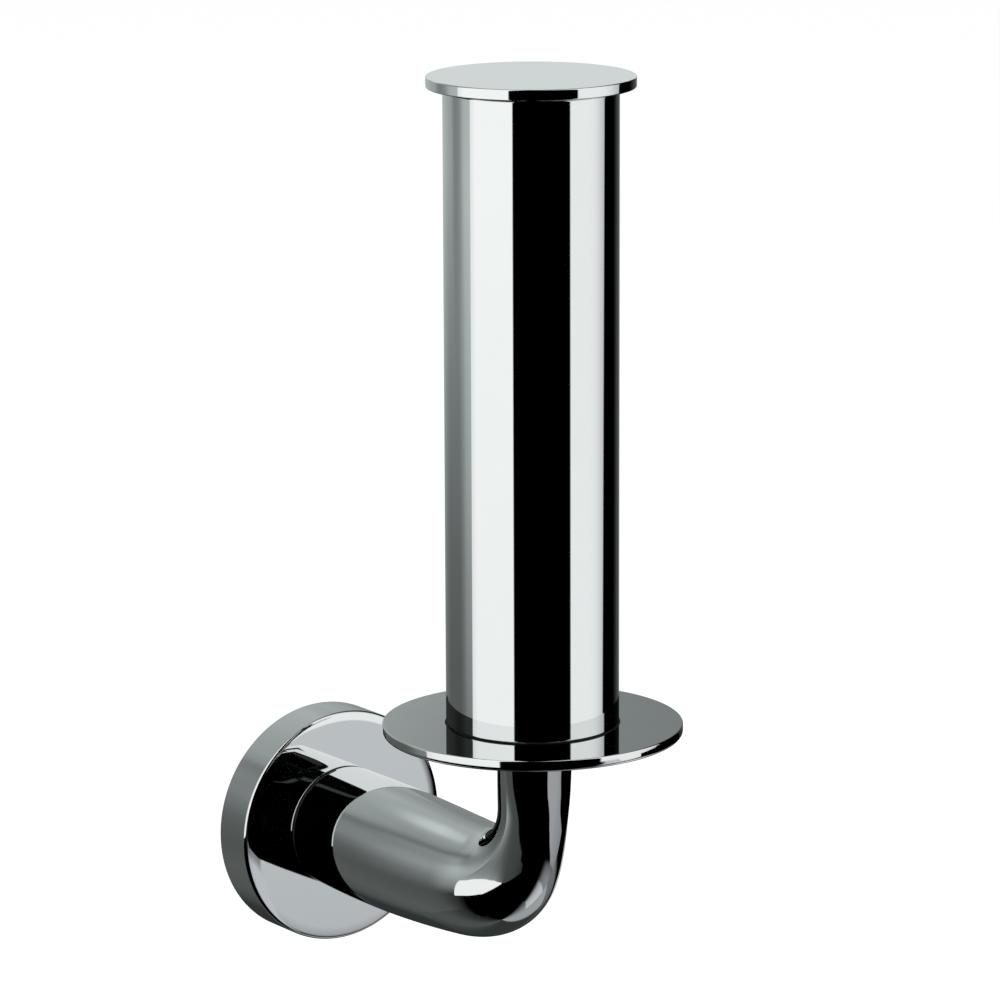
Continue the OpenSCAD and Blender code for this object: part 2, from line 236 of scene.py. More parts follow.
class FinishColours(bpy.types.PropertyGroup):
    """Colours of the finishes."""
    chrome: tint("Chrome", "Polished chrome on brass", (0.79, 0.815, 0.812))
    zinc: tint("Zinc", "Zinc plate on the steel fasteners", (0.60, 0.60, 0.58))
    rubber: tint("Rubber", "Black rubber and foam", (0.03, 0.03, 0.03))
    acetal: tint("Acetal", "Turned plugs in the tube", (0.85, 0.84, 0.78))


class Wire:
    """A socket that takes part in Python arithmetic; each operation adds a Math node."""

    def __init__(self, graph, socket):
        self.graph = graph
        self.socket = socket

    def math(self, operation, *others):
        return self.graph.node("ShaderNodeMath", {"operation": operation}, [self, *others])

    def __add__(self, other):
        return self.math("ADD", other)

    __radd__ = __add__

    def __sub__(self, other):
        return self.math("SUBTRACT", other)

    def __rsub__(self, other):
        return self.graph.node("ShaderNodeMath", {"operation": "SUBTRACT"}, [other, self])

    def __mul__(self, other):
        return self.math("MULTIPLY", other)

    __rmul__ = __mul__

    def __truediv__(self, other):
        return self.math("DIVIDE", other)

    def ramp(self, start, stop):
        """0 at start and below, 1 at stop and above, with soft ends."""
        return self.graph.node("ShaderNodeMapRange", {"interpolation_type": "SMOOTHSTEP"},
                               {"Value": self, "From Min": start, "From Max": stop})

    def band(self, start, stop, soft):
        """1 between start and stop, 0 outside, with soft ends."""
        return self.ramp(start - soft, start + soft) * (1 - self.ramp(stop - soft, stop + soft))

    def past(self, line, soft):
        """0 below the line and 1 above it, with a soft step of that width on either side."""
        return (self - line).ramp(-soft, soft)

    def curve(self, *points):
        """Straight lines through points of (value, tone)."""
        low, high = points[0][0], points[-1][0]
        share = self.graph.node("ShaderNodeMapRange", None,
                                {"Value": self, "From Min": low, "From Max": high})
        stops = [((value - low) / (high - low), tone) for value, tone in points]
        return self.graph.node("ShaderNodeValToRGB", {"stops": stops}, [share])


class Graph:
    """A node tree with one method that adds any node and links its sockets."""

    def __init__(self, tree):
        self.tree = tree
        self.tree.nodes.clear()

    def node(self, kind, settings=None, inputs=None, output=0):
        made = self.tree.nodes.new(kind)
        for name, value in (settings or {}).items():
            if name == "stops":
                self._set_stops(made.color_ramp, value)
            else:
                setattr(made, name, value)
        pairs = inputs.items() if isinstance(inputs, dict) else enumerate(inputs or [])
        for key, value in pairs:
            if isinstance(value, Wire):
                self.tree.links.new(value.socket, made.inputs[key])
            else:
                made.inputs[key].default_value = value
        return Wire(self, made.outputs[output]) if made.outputs else made

    @staticmethod
    def _set_stops(ramp, stops):
        while len(ramp.elements) < len(stops):
            ramp.elements.new(1)
        for element, (place, tone) in zip(ramp.elements, stops):
            element.position = place
            element.color = (tone, tone, tone, 1)


def opaque(colour):
    """A colour with its alpha, as a shader's colour socket wants it."""
    return (*colour, 1)


def with_nodes(kind, name):
    """A new material or world, with its empty node tree."""
    made = kind.new(name)
    made.use_nodes = True
    return made, Graph(made.node_tree)


def mixed(share, first, second):
    """The first colour where the share is 0, the second where it is 1."""
    return share.graph.node("ShaderNodeMix", {"data_type": "RGBA"}, {"Factor": share, 6: first, 7: second},
                            output="Result")


def tinted(colour, share, mask):
    """The colour, darkened by a share where the mask is 1."""
    return mixed(mask, opaque(colour), opaque([value * (1 - share) for value in colour]))


def new_material(name, base, metallic, roughness, bump, **extra):
    """A material on Principled BSDF; base, roughness and bump are functions of the place on the piece."""
    material, graph = with_nodes(bpy.data.materials, name)
    place = graph.node("ShaderNodeTexCoord", output="Object")
    inputs = {"Base Color": base(place), "Metallic": metallic, "Roughness": roughness(place),
              "Normal": graph.node("ShaderNodeBump", None, bump(place))}
    inputs.update({key.replace("_", " "): value for key, value in extra.items()})
    shader = graph.node("ShaderNodeBsdfPrincipled", None, inputs)
    graph.node("ShaderNodeOutputMaterial", None, {"Surface": shader})
    return material


def noise(place, per_metre, detail=2.0, stretch=None):
    """Noise from 0 to 1 with a number of cells to the metre, stretched along an axis if asked."""
    graph = place.graph
    if stretch:
        place = graph.node("ShaderNodeVectorMath", {"operation": "MULTIPLY"}, [place, stretch])
    return graph.node("ShaderNodeTexNoise", None, {"Vector": place, "Scale": per_metre, "Detail": detail})


def cells(place):
    """Distance to the middle of the nearest of many small round cells."""
    return place.graph.node("ShaderNodeTexVoronoi", None, {"Vector": place, "Scale": FOAM_CELLS})


def relief(height, strength, depth):
    """What a Bump node takes to raise the surface by that height."""
    return {"Height": height, "Strength": strength, "Distance": depth}


def chrome_finish(name, colour, polish, waves):
    """Mirror-bright plate: faint haze in patches, and the long low waves that buffing leaves."""
    return new_material(
        name,
        base=lambda place: tinted(colour, 0.03, noise(place, per_metre=90)),
        metallic=1,
        roughness=lambda place: polish + 0.025 * noise(place, per_metre=260, detail=4),
        bump=lambda place: relief(noise(place, per_metre=waves, detail=1), 0.012, 0.02 * MM))


def zinc_finish(colour):
    """Bright zinc on turned steel, slightly mottled, with fine tool lines."""
    return new_material(
        "zinc_plate",
        base=lambda place: tinted(colour, 0.25, noise(place, per_metre=700, detail=6)),
        metallic=1,
        roughness=lambda place: 0.26 + 0.18 * noise(place, per_metre=1500, detail=4),
        bump=lambda place: relief(noise(place, per_metre=4000, stretch=(0.2, 1, 1)), 0.25, 0.02 * MM))


def rubber_finish(colour):
    """Black rubber with a fine matt grain."""
    return new_material(
        "black_rubber",
        base=lambda place: tinted(colour, 0.3, noise(place, per_metre=900, detail=4)),
        metallic=0,
        roughness=lambda place: 0.6 + 0.2 * noise(place, per_metre=2400, detail=3),
        bump=lambda place: relief(noise(place, per_metre=5200, detail=3), 0.3, 0.03 * MM))


def foam_finish(colour):
    """Closed-cell foam: small round cells."""
    return new_material(
        "grey_foam",
        base=lambda place: tinted([3 * value for value in colour], 0.4, cells(place)),
        metallic=0,
        roughness=lambda place: 0.85 + 0.1 * noise(place, per_metre=1500),
        bump=lambda place: relief(cells(place), 0.6, 0.1 * MM))


def acetal_finish(colour):
    """Ivory acetal with the faint rings that a lathe leaves."""
    return new_material(
        "turned_acetal",
        base=lambda place: tinted(colour, 0.06, noise(place, per_metre=300, detail=3)),
        metallic=0,
        roughness=lambda place: 0.38 + 0.1 * noise(place, per_metre=900),
        bump=lambda place: relief(noise(place, per_metre=600, detail=1, stretch=(0.1, 0.1, 6)),
                                  0.2, 0.02 * MM),
        Subsurface_Weight=0.1)


@cache
def finishes():
    """Every finish of the holder by name, made once for the whole scene."""
    colours = bpy.context.scene.holder_colours
    return {
        "turned_chrome": chrome_finish("turned_chrome", colours.chrome, polish=0.015, waves=30),
        "cast_chrome": chrome_finish("cast_chrome", colours.chrome, polish=0.02, waves=60),
        "zinc": zinc_finish(colours.zinc),
        "rubber": rubber_finish(colours.rubber),
        "foam": foam_finish(colours.rubber),
        "acetal": acetal_finish(colours.acetal),
    }


def leave_edit_mode():
    """Back to object mode with nothing selected."""
    if bpy.context.object and bpy.context.object.mode != "OBJECT":
        bpy.ops.object.mode_set(mode="OBJECT")
    bpy.ops.object.select_all(action="DESELECT")


def select_only(piece):
    """In object mode, make the piece the one that is selected and active."""
    leave_edit_mode()
    piece.select_set(True)
    bpy.context.view_layer.objects.active = piece


def finish_with(piece, name, kind, **settings):
    """Give the active piece a modifier with these settings, and apply it."""
    modifier = piece.modifiers.new(name, kind)
    for key, value in settings.items():
        setattr(modifier, key, value)
    bpy.ops.object.modifier_apply(modifier=modifier.name)


def extrude(offset):
    """In edit mode, extrude what is selected by an offset."""
    bpy.ops.mesh.extrude_region_move(TRANSFORM_OT_translate={"value": offset})


def name_new(name):
    """Name the primitive that was just added, and bring its place into its mesh."""
    piece = bpy.context.object
    piece.name = name
    piece.data.name = name
    bpy.ops.object.transform_apply(location=True, rotation=True, scale=True)
    return piece


def select_faces(piece, wanted):
    """In edit mode, select exactly the faces whose centre and normal pass the test."""
    bpy.ops.mesh.select_mode(type="FACE")
    bpy.ops.mesh.select_all(action="DESELECT")
    mesh = bmesh.from_edit_mesh(piece.data)
    for face in mesh.faces:
        if wanted(face.calc_center_median(), face.normal):
            face.select_set(True)
    bmesh.update_edit_mesh(piece.data)


class Lathe:
    """An axis to turn a profile round: a profile point is (distance from the axis, way along it)."""

    def __init__(self, centre, axis):
        self.centre = Vector(centre)
        self.axis = Vector(axis)

    def point(self, radius, along):
        return self.centre + Vector((radius, 0, 0)) + along * self.axis

    def radius(self, place):
        offset = place - self.centre
        return (offset - offset.dot(self.axis) * self.axis).length

    def angle(self, place):
        """Turn round the axis, from straight down on the wall and from +Y on the post."""
        offset = place - self.centre
        side = self.axis.cross(Vector((1, 0, 0)))
        return math.atan2(offset.x, offset.dot(side))


POST = Lathe((0, POST_Y, 0), (0, 0, 1))
WALL = Lathe((0, 0, 0), (0, -1, 0))


def arc(centre, radius, start, stop, steps=6):
    """Profile points along an arc, from one angle to the other in degrees."""
    angles = [math.radians(start + (stop - start) * step / steps) for step in range(steps + 1)]
    return [(centre[0] + radius * math.cos(a), centre[1] + radius * math.sin(a)) for a in angles]


def turn(name, lathe, profile, sides=192):
    """Draw the profile as a wire, vertex by vertex, and spin it into a closed solid."""
    leave_edit_mode()
    points = [lathe.point(*pair) for pair in profile]
    bpy.ops.mesh.primitive_plane_add(size=MM, location=points[0])
    piece = name_new(name)
    bpy.ops.object.mode_set(mode="EDIT")
    bpy.ops.mesh.select_mode(type="VERT")
    bpy.ops.mesh.select_all(action="SELECT")
    bpy.ops.mesh.merge(type="CENTER")
    for here, there in zip(points, points[1:]):
        extrude(there - here)
    bpy.ops.mesh.select_all(action="SELECT")
    bpy.ops.mesh.spin(steps=sides, angle=FULL_TURN, center=lathe.centre, axis=lathe.axis)
    bpy.ops.mesh.select_all(action="SELECT")
    bpy.ops.mesh.remove_doubles(threshold=MERGE_DISTANCE)
    bpy.ops.mesh.normals_make_consistent(inside=False)
    bpy.ops.object.mode_set(mode="OBJECT")
    return piece


def drill(piece, start, stop, radius, sides=48):
    """Cut a round hole through the piece from one point to the other."""
    leave_edit_mode()
    way = stop - start
    bpy.ops.mesh.primitive_cylinder_add(vertices=sides, radius=radius, depth=way.length,
                                        location=(start + stop) / 2,
                                        rotation=way.to_track_quat("Z", "Y").to_euler())
    cutter = bpy.context.object
    select_only(piece)
    finish_with(piece, "hole", "BOOLEAN", object=cutter, operation="DIFFERENCE", solver="EXACT")
    bpy.data.objects.remove(cutter)


def drill_pin_hole(piece):
    """The hole that the locating pin passes or ends in, with a little room round it."""
    low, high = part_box("locating_pin")
    middle = (low + high) / 2
    reach = Vector((0, (high.y - low.y) / 2 + PIN_END_GAP, 0))
    drill(piece, middle + reach, middle - reach, high.x + PIN_PLAY)


def smooth_step(value):
    """Runs from 0 to 1 without a corner at either end."""
    share = min(max(value, 0), 1)
    return share * share * (3 - 2 * share)


def dress(piece, nodes, finish, even_normals=True):
    """Smooth the piece, give it its finish and let it stand for its nodes on the body."""
    select_only(piece)
    bpy.ops.object.shade_smooth_by_angle(angle=SMOOTH_ANGLE)
    if even_normals:
        finish_with(piece, "even_normals", "WEIGHTED_NORMAL", keep_sharp=True, weight=100)
    piece.data.materials.clear()
    piece.data.materials.append(finishes()[finish])
    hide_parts(*nodes)
    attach(piece, BODY)


class HOLDER_OT_rosette(bpy.types.Operator):
    """Turn the rosette, raise its three inner blocks and drill it"""
    bl_idname = "holder.rosette"
    bl_label = "Rosette"

    def execute(self, context):
        size = context.scene.holder_rosette
        arm = context.scene.holder_arm
        outer = node_radius("rosette")
        depth = -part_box("rosette")[0].y
        back = depth - size.face
        inner = outer - size.skirt
        flat = outer - size.edge - size.rolled
        roll_radius = size.rolled / math.sin(size.roll_angle)
        roll = arc((flat, depth - roll_radius), roll_radius, 90 - math.degrees(size.roll_angle), 90, 8)
        edge_low = roll[0][1] - size.edge
        edge = arc((outer - size.edge, edge_low), size.edge, 0, 90, 8)
        profile = [(arm.spigot, back), (inner, back), (inner, size.block_low), (inner, 0), (outer, 0),
                   *edge, *roll[1:], (arm.spigot, depth), (arm.spigot, back)]
        rosette = turn("rosette_shell", WALL, profile)
        self.raise_blocks(rosette, size, inner, back)
        hole_y = sum(corner.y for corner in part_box("grub_screw")) / 2
        start = Vector((0, hole_y, -node_radius("wall_plate")))
        drill(rosette, start, start - Vector((0, 0, outer)), size.grub_radius)
        drill_pin_hole(rosette)
        dress(rosette, ["rosette"], "turned_chrome")
        return {"FINISHED"}

    @staticmethod
    def raise_blocks(rosette, size, inner, back):
        """Push the skirt's inner wall in towards the plate at three places."""
        bpy.ops.object.mode_set(mode="EDIT")
        third = FULL_TURN / 3
        gap_high = node_radius("wall_plate") + size.block_gap

        def on_block(centre, normal):
            off_middle = (WALL.angle(centre) + third / 2) % third - third / 2
            deep_enough = size.block_low < -centre.y < back
            return deep_enough and WALL.radius(centre) < inner and abs(off_middle) < size.block_angle / 2

        select_faces(rosette, on_block)
        share = gap_high / inner
        extrude((0, 0, 0))
        bpy.ops.transform.resize(value=(share, 1, share), center_override=(0, 0, 0))
        bpy.ops.object.mode_set(mode="OBJECT")


class ArmLine:
    """The arm in its own plane, as (distance from the wall, height)."""

    def __init__(self, size):
        stem_u = size.lean - POST_Y
        self.size = size
        self.foot_u = -GASKET_LOW.y
        self.crotch = Vector((stem_u - size.stem - size.crotch, size.elbow + size.crotch))
        self.sweep_foot = Vector((stem_u + size.stem - size.sweep_out, -size.elbow))
        self.sweep_head = Vector((stem_u + size.stem, size.sweep_up - size.elbow))
        self.straight = self.crotch.x - self.foot_u
        self.bend = math.pi * size.crotch / 2
        self.length = self.straight + self.bend + ARM_HIGH.z - self.crotch.y
        self.turn_start = self.straight - size.turn_lead
        self.turn_stop = self.straight + self.bend + size.turn_tail
        self.lower = self.lower_line()

    def upper(self, way):
        """Point of the upper side at a distance along it: the arm, the crotch's round, the stem."""
        size = self.size
        if way < self.straight:
            share = way / self.straight
            radius = size.foot + (size.elbow - size.foot) * smooth_step(share)
            return Vector((self.foot_u + way, radius + size.swell * (4 * share * (1 - share)) ** 2))
        if way < self.straight + self.bend:
            angle = (way - self.straight) / size.crotch
            return self.crotch + size.crotch * Vector((math.sin(angle), -math.cos(angle)))
        return self.crotch + Vector((size.crotch, way - self.straight - self.bend))

    def lower_line(self, steps=12, sweep_steps=60):
        """Underside, outer curve and outer side of the stem, point by point."""
        size = self.size
        run = self.sweep_foot.x - self.foot_u
        points = []
        for step in range(steps):
            share = step / steps
            drop = size.foot + (size.elbow - size.foot) * share + 4 * size.sag * share * (1 - share)
            points.append(Vector((self.foot_u + run * share, -drop)))
        slope = Vector((run, size.foot - size.elbow + 4 * size.sag)).normalized()
        handle = self.sweep_foot + size.pull_out * size.sweep_out * slope
        handle_up = self.sweep_head - Vector((0, size.pull_up * size.sweep_up))
        points += interpolate_bezier(self.sweep_foot, handle, handle_up, self.sweep_head, sweep_steps)
        return [*points, Vector((self.sweep_head.x, 2 * ARM_HIGH.z))]

    def ring(self, way, trim=0.0):
        """Centre and half chord of the ring that starts at a distance along the upper side."""
        turned = (way - self.turn_start) / (self.turn_stop - self.turn_start)
        angle = math.pi / 2 * smooth_step(turned)
        along = Vector((math.sin(angle), -math.cos(angle)))
        start = self.upper(way)
        side = [along.x * (point.y - start.y) - along.y * (point.x - start.x) for point in self.lower]
        after = max(1, next(index for index, value in enumerate(side) if value > 0))
        share = side[after - 1] / (side[after - 1] - side[after])
        end = self.lower[after - 1].lerp(self.lower[after], share)
        half = (end - start) / 2
        return (start + end) / 2, half * (1 - trim / half.length)

    def rings(self, straight_steps, elbow_steps, stem_steps, edge_steps):
        """Every ring from the foot to the stem's top, with a round edge at either end."""
        edge = self.size.edge
        angles = [math.pi / 2 * step / edge_steps for step in range(edge_steps + 1)]
        rings = [self.ring(edge * (1 - math.cos(a)), edge * (1 - math.sin(a))) for a in angles]
        spans = [(0, self.turn_start, straight_steps), (self.turn_start, self.turn_stop, elbow_steps),
                 (self.turn_stop, self.length, stem_steps)]
        for start, stop, steps in spans:
            rings += [self.ring(start + (stop - start) * step / steps) for step in range(1, steps + 1)]
        rings.pop()
        rings += [self.ring(self.length - edge * (1 - math.sin(a)), edge * (1 - math.cos(a))) for a in angles]
        return rings


class HOLDER_OT_arm(bpy.types.Operator):
    """Draw the cast arm out ring by ring, round its elbow and up into the stem"""
    bl_idname = "holder.arm"
    bl_label = "Arm"

    straight_steps: steps_of("Straight steps", "Rings along the straight arm", 10)
    elbow_steps: steps_of("Elbow steps", "Rings round the elbow", 26)
    stem_steps: steps_of("Stem steps", "Rings up the stem", 4)
    edge_steps: steps_of("Edge steps", "Rings round each end edge", 3)

    def execute(self, context):
        size = context.scene.holder_arm
        rings = ArmLine(size).rings(self.straight_steps, self.elbow_steps, self.stem_steps, self.edge_steps)
        leave_edit_mode()
        centre, half = rings[0]
        bpy.ops.mesh.primitive_circle_add(vertices=size.sides, radius=half.length, fill_type="NGON",
                                          location=self.placed(centre), rotation=(math.pi / 2, 0, 0))
        arm = name_new("arm_casting")
        bpy.ops.object.mode_set(mode="EDIT")
        bpy.ops.mesh.select_all(action="SELECT")
        bpy.ops.mesh.select_mode(type="FACE")
        for (here, half), (there, half_next) in zip(rings, rings[1:]):
            place = self.placed(there)
            extrude(place - self.placed(here))
            bend = half_next.angle_signed(half)
            bpy.ops.transform.rotate(value=bend, orient_axis="X", center_override=place)
            share = half_next.length / half.length
            bpy.ops.transform.resize(value=(share, share, share), center_override=place)
        foot_y = GASKET_LOW.y
        select_faces(arm, lambda centre, normal: normal.y > FACING
                     and abs(centre.y - foot_y) < MERGE_DISTANCE)
        self.inset_to(rings[0][1].length, size.spigot, size.sides)
        extrude((0, ARM_HIGH.y - foot_y, 0))
        bpy.ops.transform.edge_crease(value=1)
        self.inset_to(size.spigot, size.screw, size.sides)
        extrude((0, foot_y - ARM_HIGH.y - size.screw_depth, 0))
        bpy.ops.transform.edge_crease(value=1)
        bpy.ops.mesh.select_all(action="SELECT")
        bpy.ops.mesh.normals_make_consistent(inside=False)
        bpy.ops.object.mode_set(mode="OBJECT")
        finish_with(arm, "smooth", "SUBSURF", levels=2, render_levels=2)
        rod_top = Vector((0, POST_Y, 2 * ARM_HIGH.z - ROD_LOW.z))
        drill(arm, Vector((0, POST_Y, ROD_LOW.z)), rod_top, context.scene.holder_post.rod_radius)
        drill_pin_hole(arm)
        dress(arm, ["arm"], "cast_chrome", even_normals=False)
        return {"FINISHED"}

    @staticmethod
    def placed(point):
        """A point of the arm's own plane, as (distance from the wall, height), in the frame."""
        return Vector((0, -point.x, point.y))

    @staticmethod
    def inset_to(outer, inner, sides):
        """Inset the selected end face to a smaller circle with a crisp rim."""
        bpy.ops.mesh.inset(thickness=(outer - inner) * math.cos(math.pi / sides), depth=0)
        bpy.ops.transform.edge_crease(value=1)


class HOLDER_OT_post(bpy.types.Operator):
    """Turn the flange, the tube and the cap"""
    bl_idname = "holder.post"
    bl_label = "Flange, tube and cap"

    def execute(self, context):
        size = context.scene.holder_post
        self.flange(size)
        self.tube(size)
        self.cap(size)
        return {"FINISHED"}

    @staticmethod
    def flange(size):
        outer = FLANGE_HIGH.x
        low, high = FLANGE_LOW.z, FLANGE_HIGH.z
        seat_radius = TUBE_HIGH.x + size.seat_play
        seat = high - size.seat_depth
        hole = size.rod_radius + size.rod_play
        low_edge = arc((outer - size.flange_low_edge, low + size.flange_low_edge),
                       size.flange_low_edge, -90, 0, 8)
        top_edge = arc((outer - size.flange_top_edge, high - size.flange_top_edge),
                       size.flange_top_edge, 0, 90, 6)
        profile = [(hole, low), *low_edge, *top_edge, (seat_radius, high), (seat_radius, seat),
                   (hole, seat), (hole, low)]
        dress(turn("flange_disc", POST, profile, FINE_SIDES), ["flange"], "turned_chrome")

    @staticmethod
    def tube(size):
        outer = TUBE_HIGH.x
        inner = outer - size.tube_wall
        low, high = TUBE_LOW.z, TUBE_HIGH.z
        edge = size.tube_edge
        foot = FLANGE_HIGH.z - size.tube_sink
        profile = [(inner, low), (outer - edge, low), *arc((outer - edge, foot + edge), edge, -90, 0, 5),
                   *arc((outer - edge, high - edge), edge, 0, 90, 4), (inner, high), (inner, low)]
        dress(turn("post_tube", POST, profile, FINE_SIDES), ["tube"], "turned_chrome")

    @staticmethod
    def cap(size):
        outer = CAP_HIGH.x
        high = CAP_HIGH.z
        under = high - size.cap_thickness
        edge = size.cap_edge
        roof = under - size.boss_roof
        profile = [(0, high), *arc((outer - edge, high - edge), edge, 90, 0, 5),
                   *arc((outer - edge, under + edge), edge, 0, -90, 5), (size.boss_radius, under),
                   (size.boss_radius, CAP_LOW.z), (size.rod_radius, CAP_LOW.z),
                   (size.rod_radius, roof), (0, roof)]
        dress(turn("cap_disc", POST, profile, FINE_SIDES), ["cap"], "turned_chrome")


class HOLDER_OT_fittings(bpy.types.Operator):
    """Give the fasteners, plugs and rubber parts their finishes"""
    bl_idname = "holder.fittings"
    bl_label = "Fittings"

    dressed = {
        "zinc": ["wall_plate", "grub_screw", "spring_washer", "clamp_washer", "arm_screw",
                 "locating_pin", "rod_washer", "rod_nut", "tie_rod"],
        "rubber": ["arm_gasket", "stem_gasket", "foot_ring", "lower_ring", "upper_ring", "head_ring"],
        "foam": ["wall_pad"],
        "acetal": ["lower_plug", "upper_plug"],
    }

    def execute(self, context):
        for finish, nodes in self.dressed.items():
            for node in nodes:
                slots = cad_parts[node].material_slots
                for slot in slots:
                    slot.material = finishes()[finish]
                if not slots:
                    raise RuntimeError(f"{node} has no material slot")
        return {"FINISHED"}


class HOLDER_OT_studio(bpy.types.Operator):
    """Set the camera, the pale floor, the light and the cards that the chrome mirrors"""
    bl_idname = "holder.studio"
    bl_label = "Studio"

    # Azimuths are in degrees from the line to the camera, heights in metres, tones in glow.
    # What each near sheet keeps of its round.
    spans = {
        "low_left_card": (-91.5, -12),
        "low_right_card": (24, 108),
        "cap_card": (130, 230),
        "rim_flag": (62, 112),
    }
    # Where the greys take the boards' tint, with the soft width of either end.
    board_span = (12, 126, 24)
    # The glow over which a grey turns white.
    whitening = (0.6, 0.95)

    def execute(self, context):
        size = context.scene.holder_studio
        self.place_camera(context.scene, size)
        self.lay_floor(size)
        self.hang_lamp(size)
        self.pitch_tent(size)
        self.light_room(context.scene, size)
        context.scene.view_settings.view_transform = "Standard"
        return {"FINISHED"}

    @staticmethod
    def place_camera(scene, size):
        bpy.ops.object.camera_add(location=size.camera_place)
        camera = bpy.context.object
        camera.name = "camera"
        turned = Matrix.Rotation(size.heading, 3, "Z")
        tilted = Matrix.Rotation(math.pi / 2 - size.pitch, 3, "X")
        rolled = Matrix.Rotation(size.roll, 3, "Z")
        camera.rotation_euler = (turned @ tilted @ rolled).to_euler()
        camera.data.lens = size.lens
        camera.data.sensor_width = SENSOR_WIDTH
        camera.data.clip_start = CLIP_START
        camera.data.clip_end = CLIP_END
        scene.camera = camera

    @staticmethod
    def lay_floor(size):
        leave_edit_mode()
        bpy.ops.mesh.primitive_plane_add(size=size.floor_size, location=(0, 0, CAD_LOW.z - size.floor_drop))
        floor = name_new("floor")
        paint, graph = with_nodes(bpy.data.materials, "pale_floor")
        ray = graph.node("ShaderNodeLightPath", output="Is Camera Ray")
        matt = graph.node("ShaderNodeBsdfDiffuse", None, {"Color": opaque(size.floor_colour)})
        glow = graph.node("ShaderNodeEmission", None, {"Color": WHITE, "Strength": size.floor_glow * ray})
        both = graph.node("ShaderNodeAddShader", None, [matt, glow])
        graph.node("ShaderNodeOutputMaterial", None, {"Surface": both})
        floor.data.materials.append(paint)
        floor.visible_glossy = False

    @staticmethod
    def hang_lamp(size):
        bpy.ops.object.light_add(type="AREA", location=size.lamp_place)
        lamp = bpy.context.object
        lamp.name = "soft_lamp"
        lamp.data.shape = "SQUARE"
        lamp.data.size = size.lamp_size
        lamp.data.energy = size.lamp_power
        lamp.rotation_euler = (-lamp.location).to_track_quat("-Z", "Y").to_euler()
        lamp.visible_glossy = False

    def pitch_tent(self, size):
        """The tent round the holder and the sheets near it, which only shiny surfaces see."""
        floor_z = CAD_LOW.z - size.floor_drop
        cap_foot = CAP_HIGH.z + size.cap_card_rise

        def tent(azimuth, z):
            """White cards, black flags and grey cloth, dimmed for rays that met a mirror before: painted
            shade in the holder's reflections of its own parts.
            """
            # Painted shade: the rear cloth dims after one mirror and the whole tent after two, darkening the
            # holder's reflections of itself.
            first = size.rear_later_shaded + (1 - size.rear_later_shaded) * self.seen_by(z.graph, 1)
            second = size.tent_last_shaded + (1 - size.tent_last_shaded) * self.seen_by(z.graph, 2)
            on_floor = z.math("LESS_THAN", floor_z + MM)
            wall = self.cards(azimuth, z) + self.rear(azimuth, z) * first
            return (wall * (1 - on_floor) + self.ground(azimuth) * on_floor) * second

        def low(card):
            """A low card's tone, drawn in millimetres over its line, for rays from a first mirror; later
            mirrors see it black, as painted shade in reflections of reflections.
            """
            def tone(azimuth, z):
                return card(azimuth, (z - size.low_card_line) / MM) * self.seen_by(z.graph, 1)
            return tone

        def even(tone):
            """The same tone all over."""
            return lambda azimuth, z: 0 * z + tone

        self.hang_sheet("light_tent", size, size.tent_y, size.tent_radius,
                        (floor_z, floor_z + size.tent_height), tent)
        left, right, low_foot = size.low_left_radius, size.low_right_radius, size.low_card_foot
        sheets = [
            ("low_left_card", left, (low_foot, size.left_card_top), low(self.low_left)),
            ("low_right_card", right, (low_foot, size.right_card_top), low(self.low_right)),
            ("cap_card", left, (cap_foot, cap_foot + size.cap_card_height), even(size.cap_card_tone)),
            ("rim_flag", left, (size.rim_flag_foot, size.rim_flag_top), even(0)),
        ]
        for name, radius, heights, tone in sheets:
            self.hang_sheet(name, size, POST_Y, radius, heights, tone, self.spans[name])

    @staticmethod
    def seen_by(graph, mirrors):
        """1 for rays that came over that number of mirrors at most."""
        depth = graph.node("ShaderNodeLightPath", output="Glossy Depth")
        return 1 - depth.math("GREATER_THAN", mirrors + 0.5)

    def hang_sheet(self, name, size, centre_y, radius, heights, tone, span=None):
        """A round sheet, or its span between two azimuths, whose glow only shiny surfaces see."""
        leave_edit_mode()
        low_z, high_z = heights
        bpy.ops.mesh.primitive_cylinder_add(vertices=size.sheet_sides, radius=radius, depth=high_z - low_z,
                                            location=(0, centre_y, (low_z + high_z) / 2),
                                            end_fill_type="NOTHING" if span else "NGON")
        sheet = name_new(name)
        across, along = math.cos(size.heading), math.sin(size.heading)

        def outside(centre, normal):
            """Whether a side lies past the span."""
            side = centre.x * across + (centre.y - centre_y) * along
            near = centre.x * along - (centre.y - centre_y) * across
            return (math.degrees(math.atan2(side, near)) - span[0]) % 360 > span[1] - span[0]

        if span:
            bpy.ops.object.mode_set(mode="EDIT")
            select_faces(sheet, outside)
            bpy.ops.mesh.delete(type="FACE")
            bpy.ops.object.mode_set(mode="OBJECT")
        paint, graph = with_nodes(bpy.data.materials, name)
        place = graph.node("ShaderNodeTexCoord", output="Object")
        x, y, z = [graph.node("ShaderNodeSeparateXYZ", None, [place], axis) for axis in "XYZ"]
        y = y - centre_y
        azimuth = (x * across + y * along).math("ARCTAN2", x * along - y * across) * (180 / math.pi)
        inner = graph.node("ShaderNodeNewGeometry", output="Backfacing")
        glow = tone(azimuth, z)
        cloth, board = opaque(size.cloth_colour), opaque(size.board_colour)
        grey = mixed(azimuth.band(*self.board_span), cloth, board)
        colour = mixed(glow.ramp(*self.whitening), grey, WHITE)
        shader = graph.node("ShaderNodeEmission", None, {"Color": colour, "Strength": glow * inner})
        graph.node("ShaderNodeOutputMaterial", None, {"Surface": shader})
        sheet.data.materials.append(paint)
        for ray in ("camera", "diffuse", "transmission", "volume_scatter", "shadow"):
            setattr(sheet, f"visible_{ray}", False)

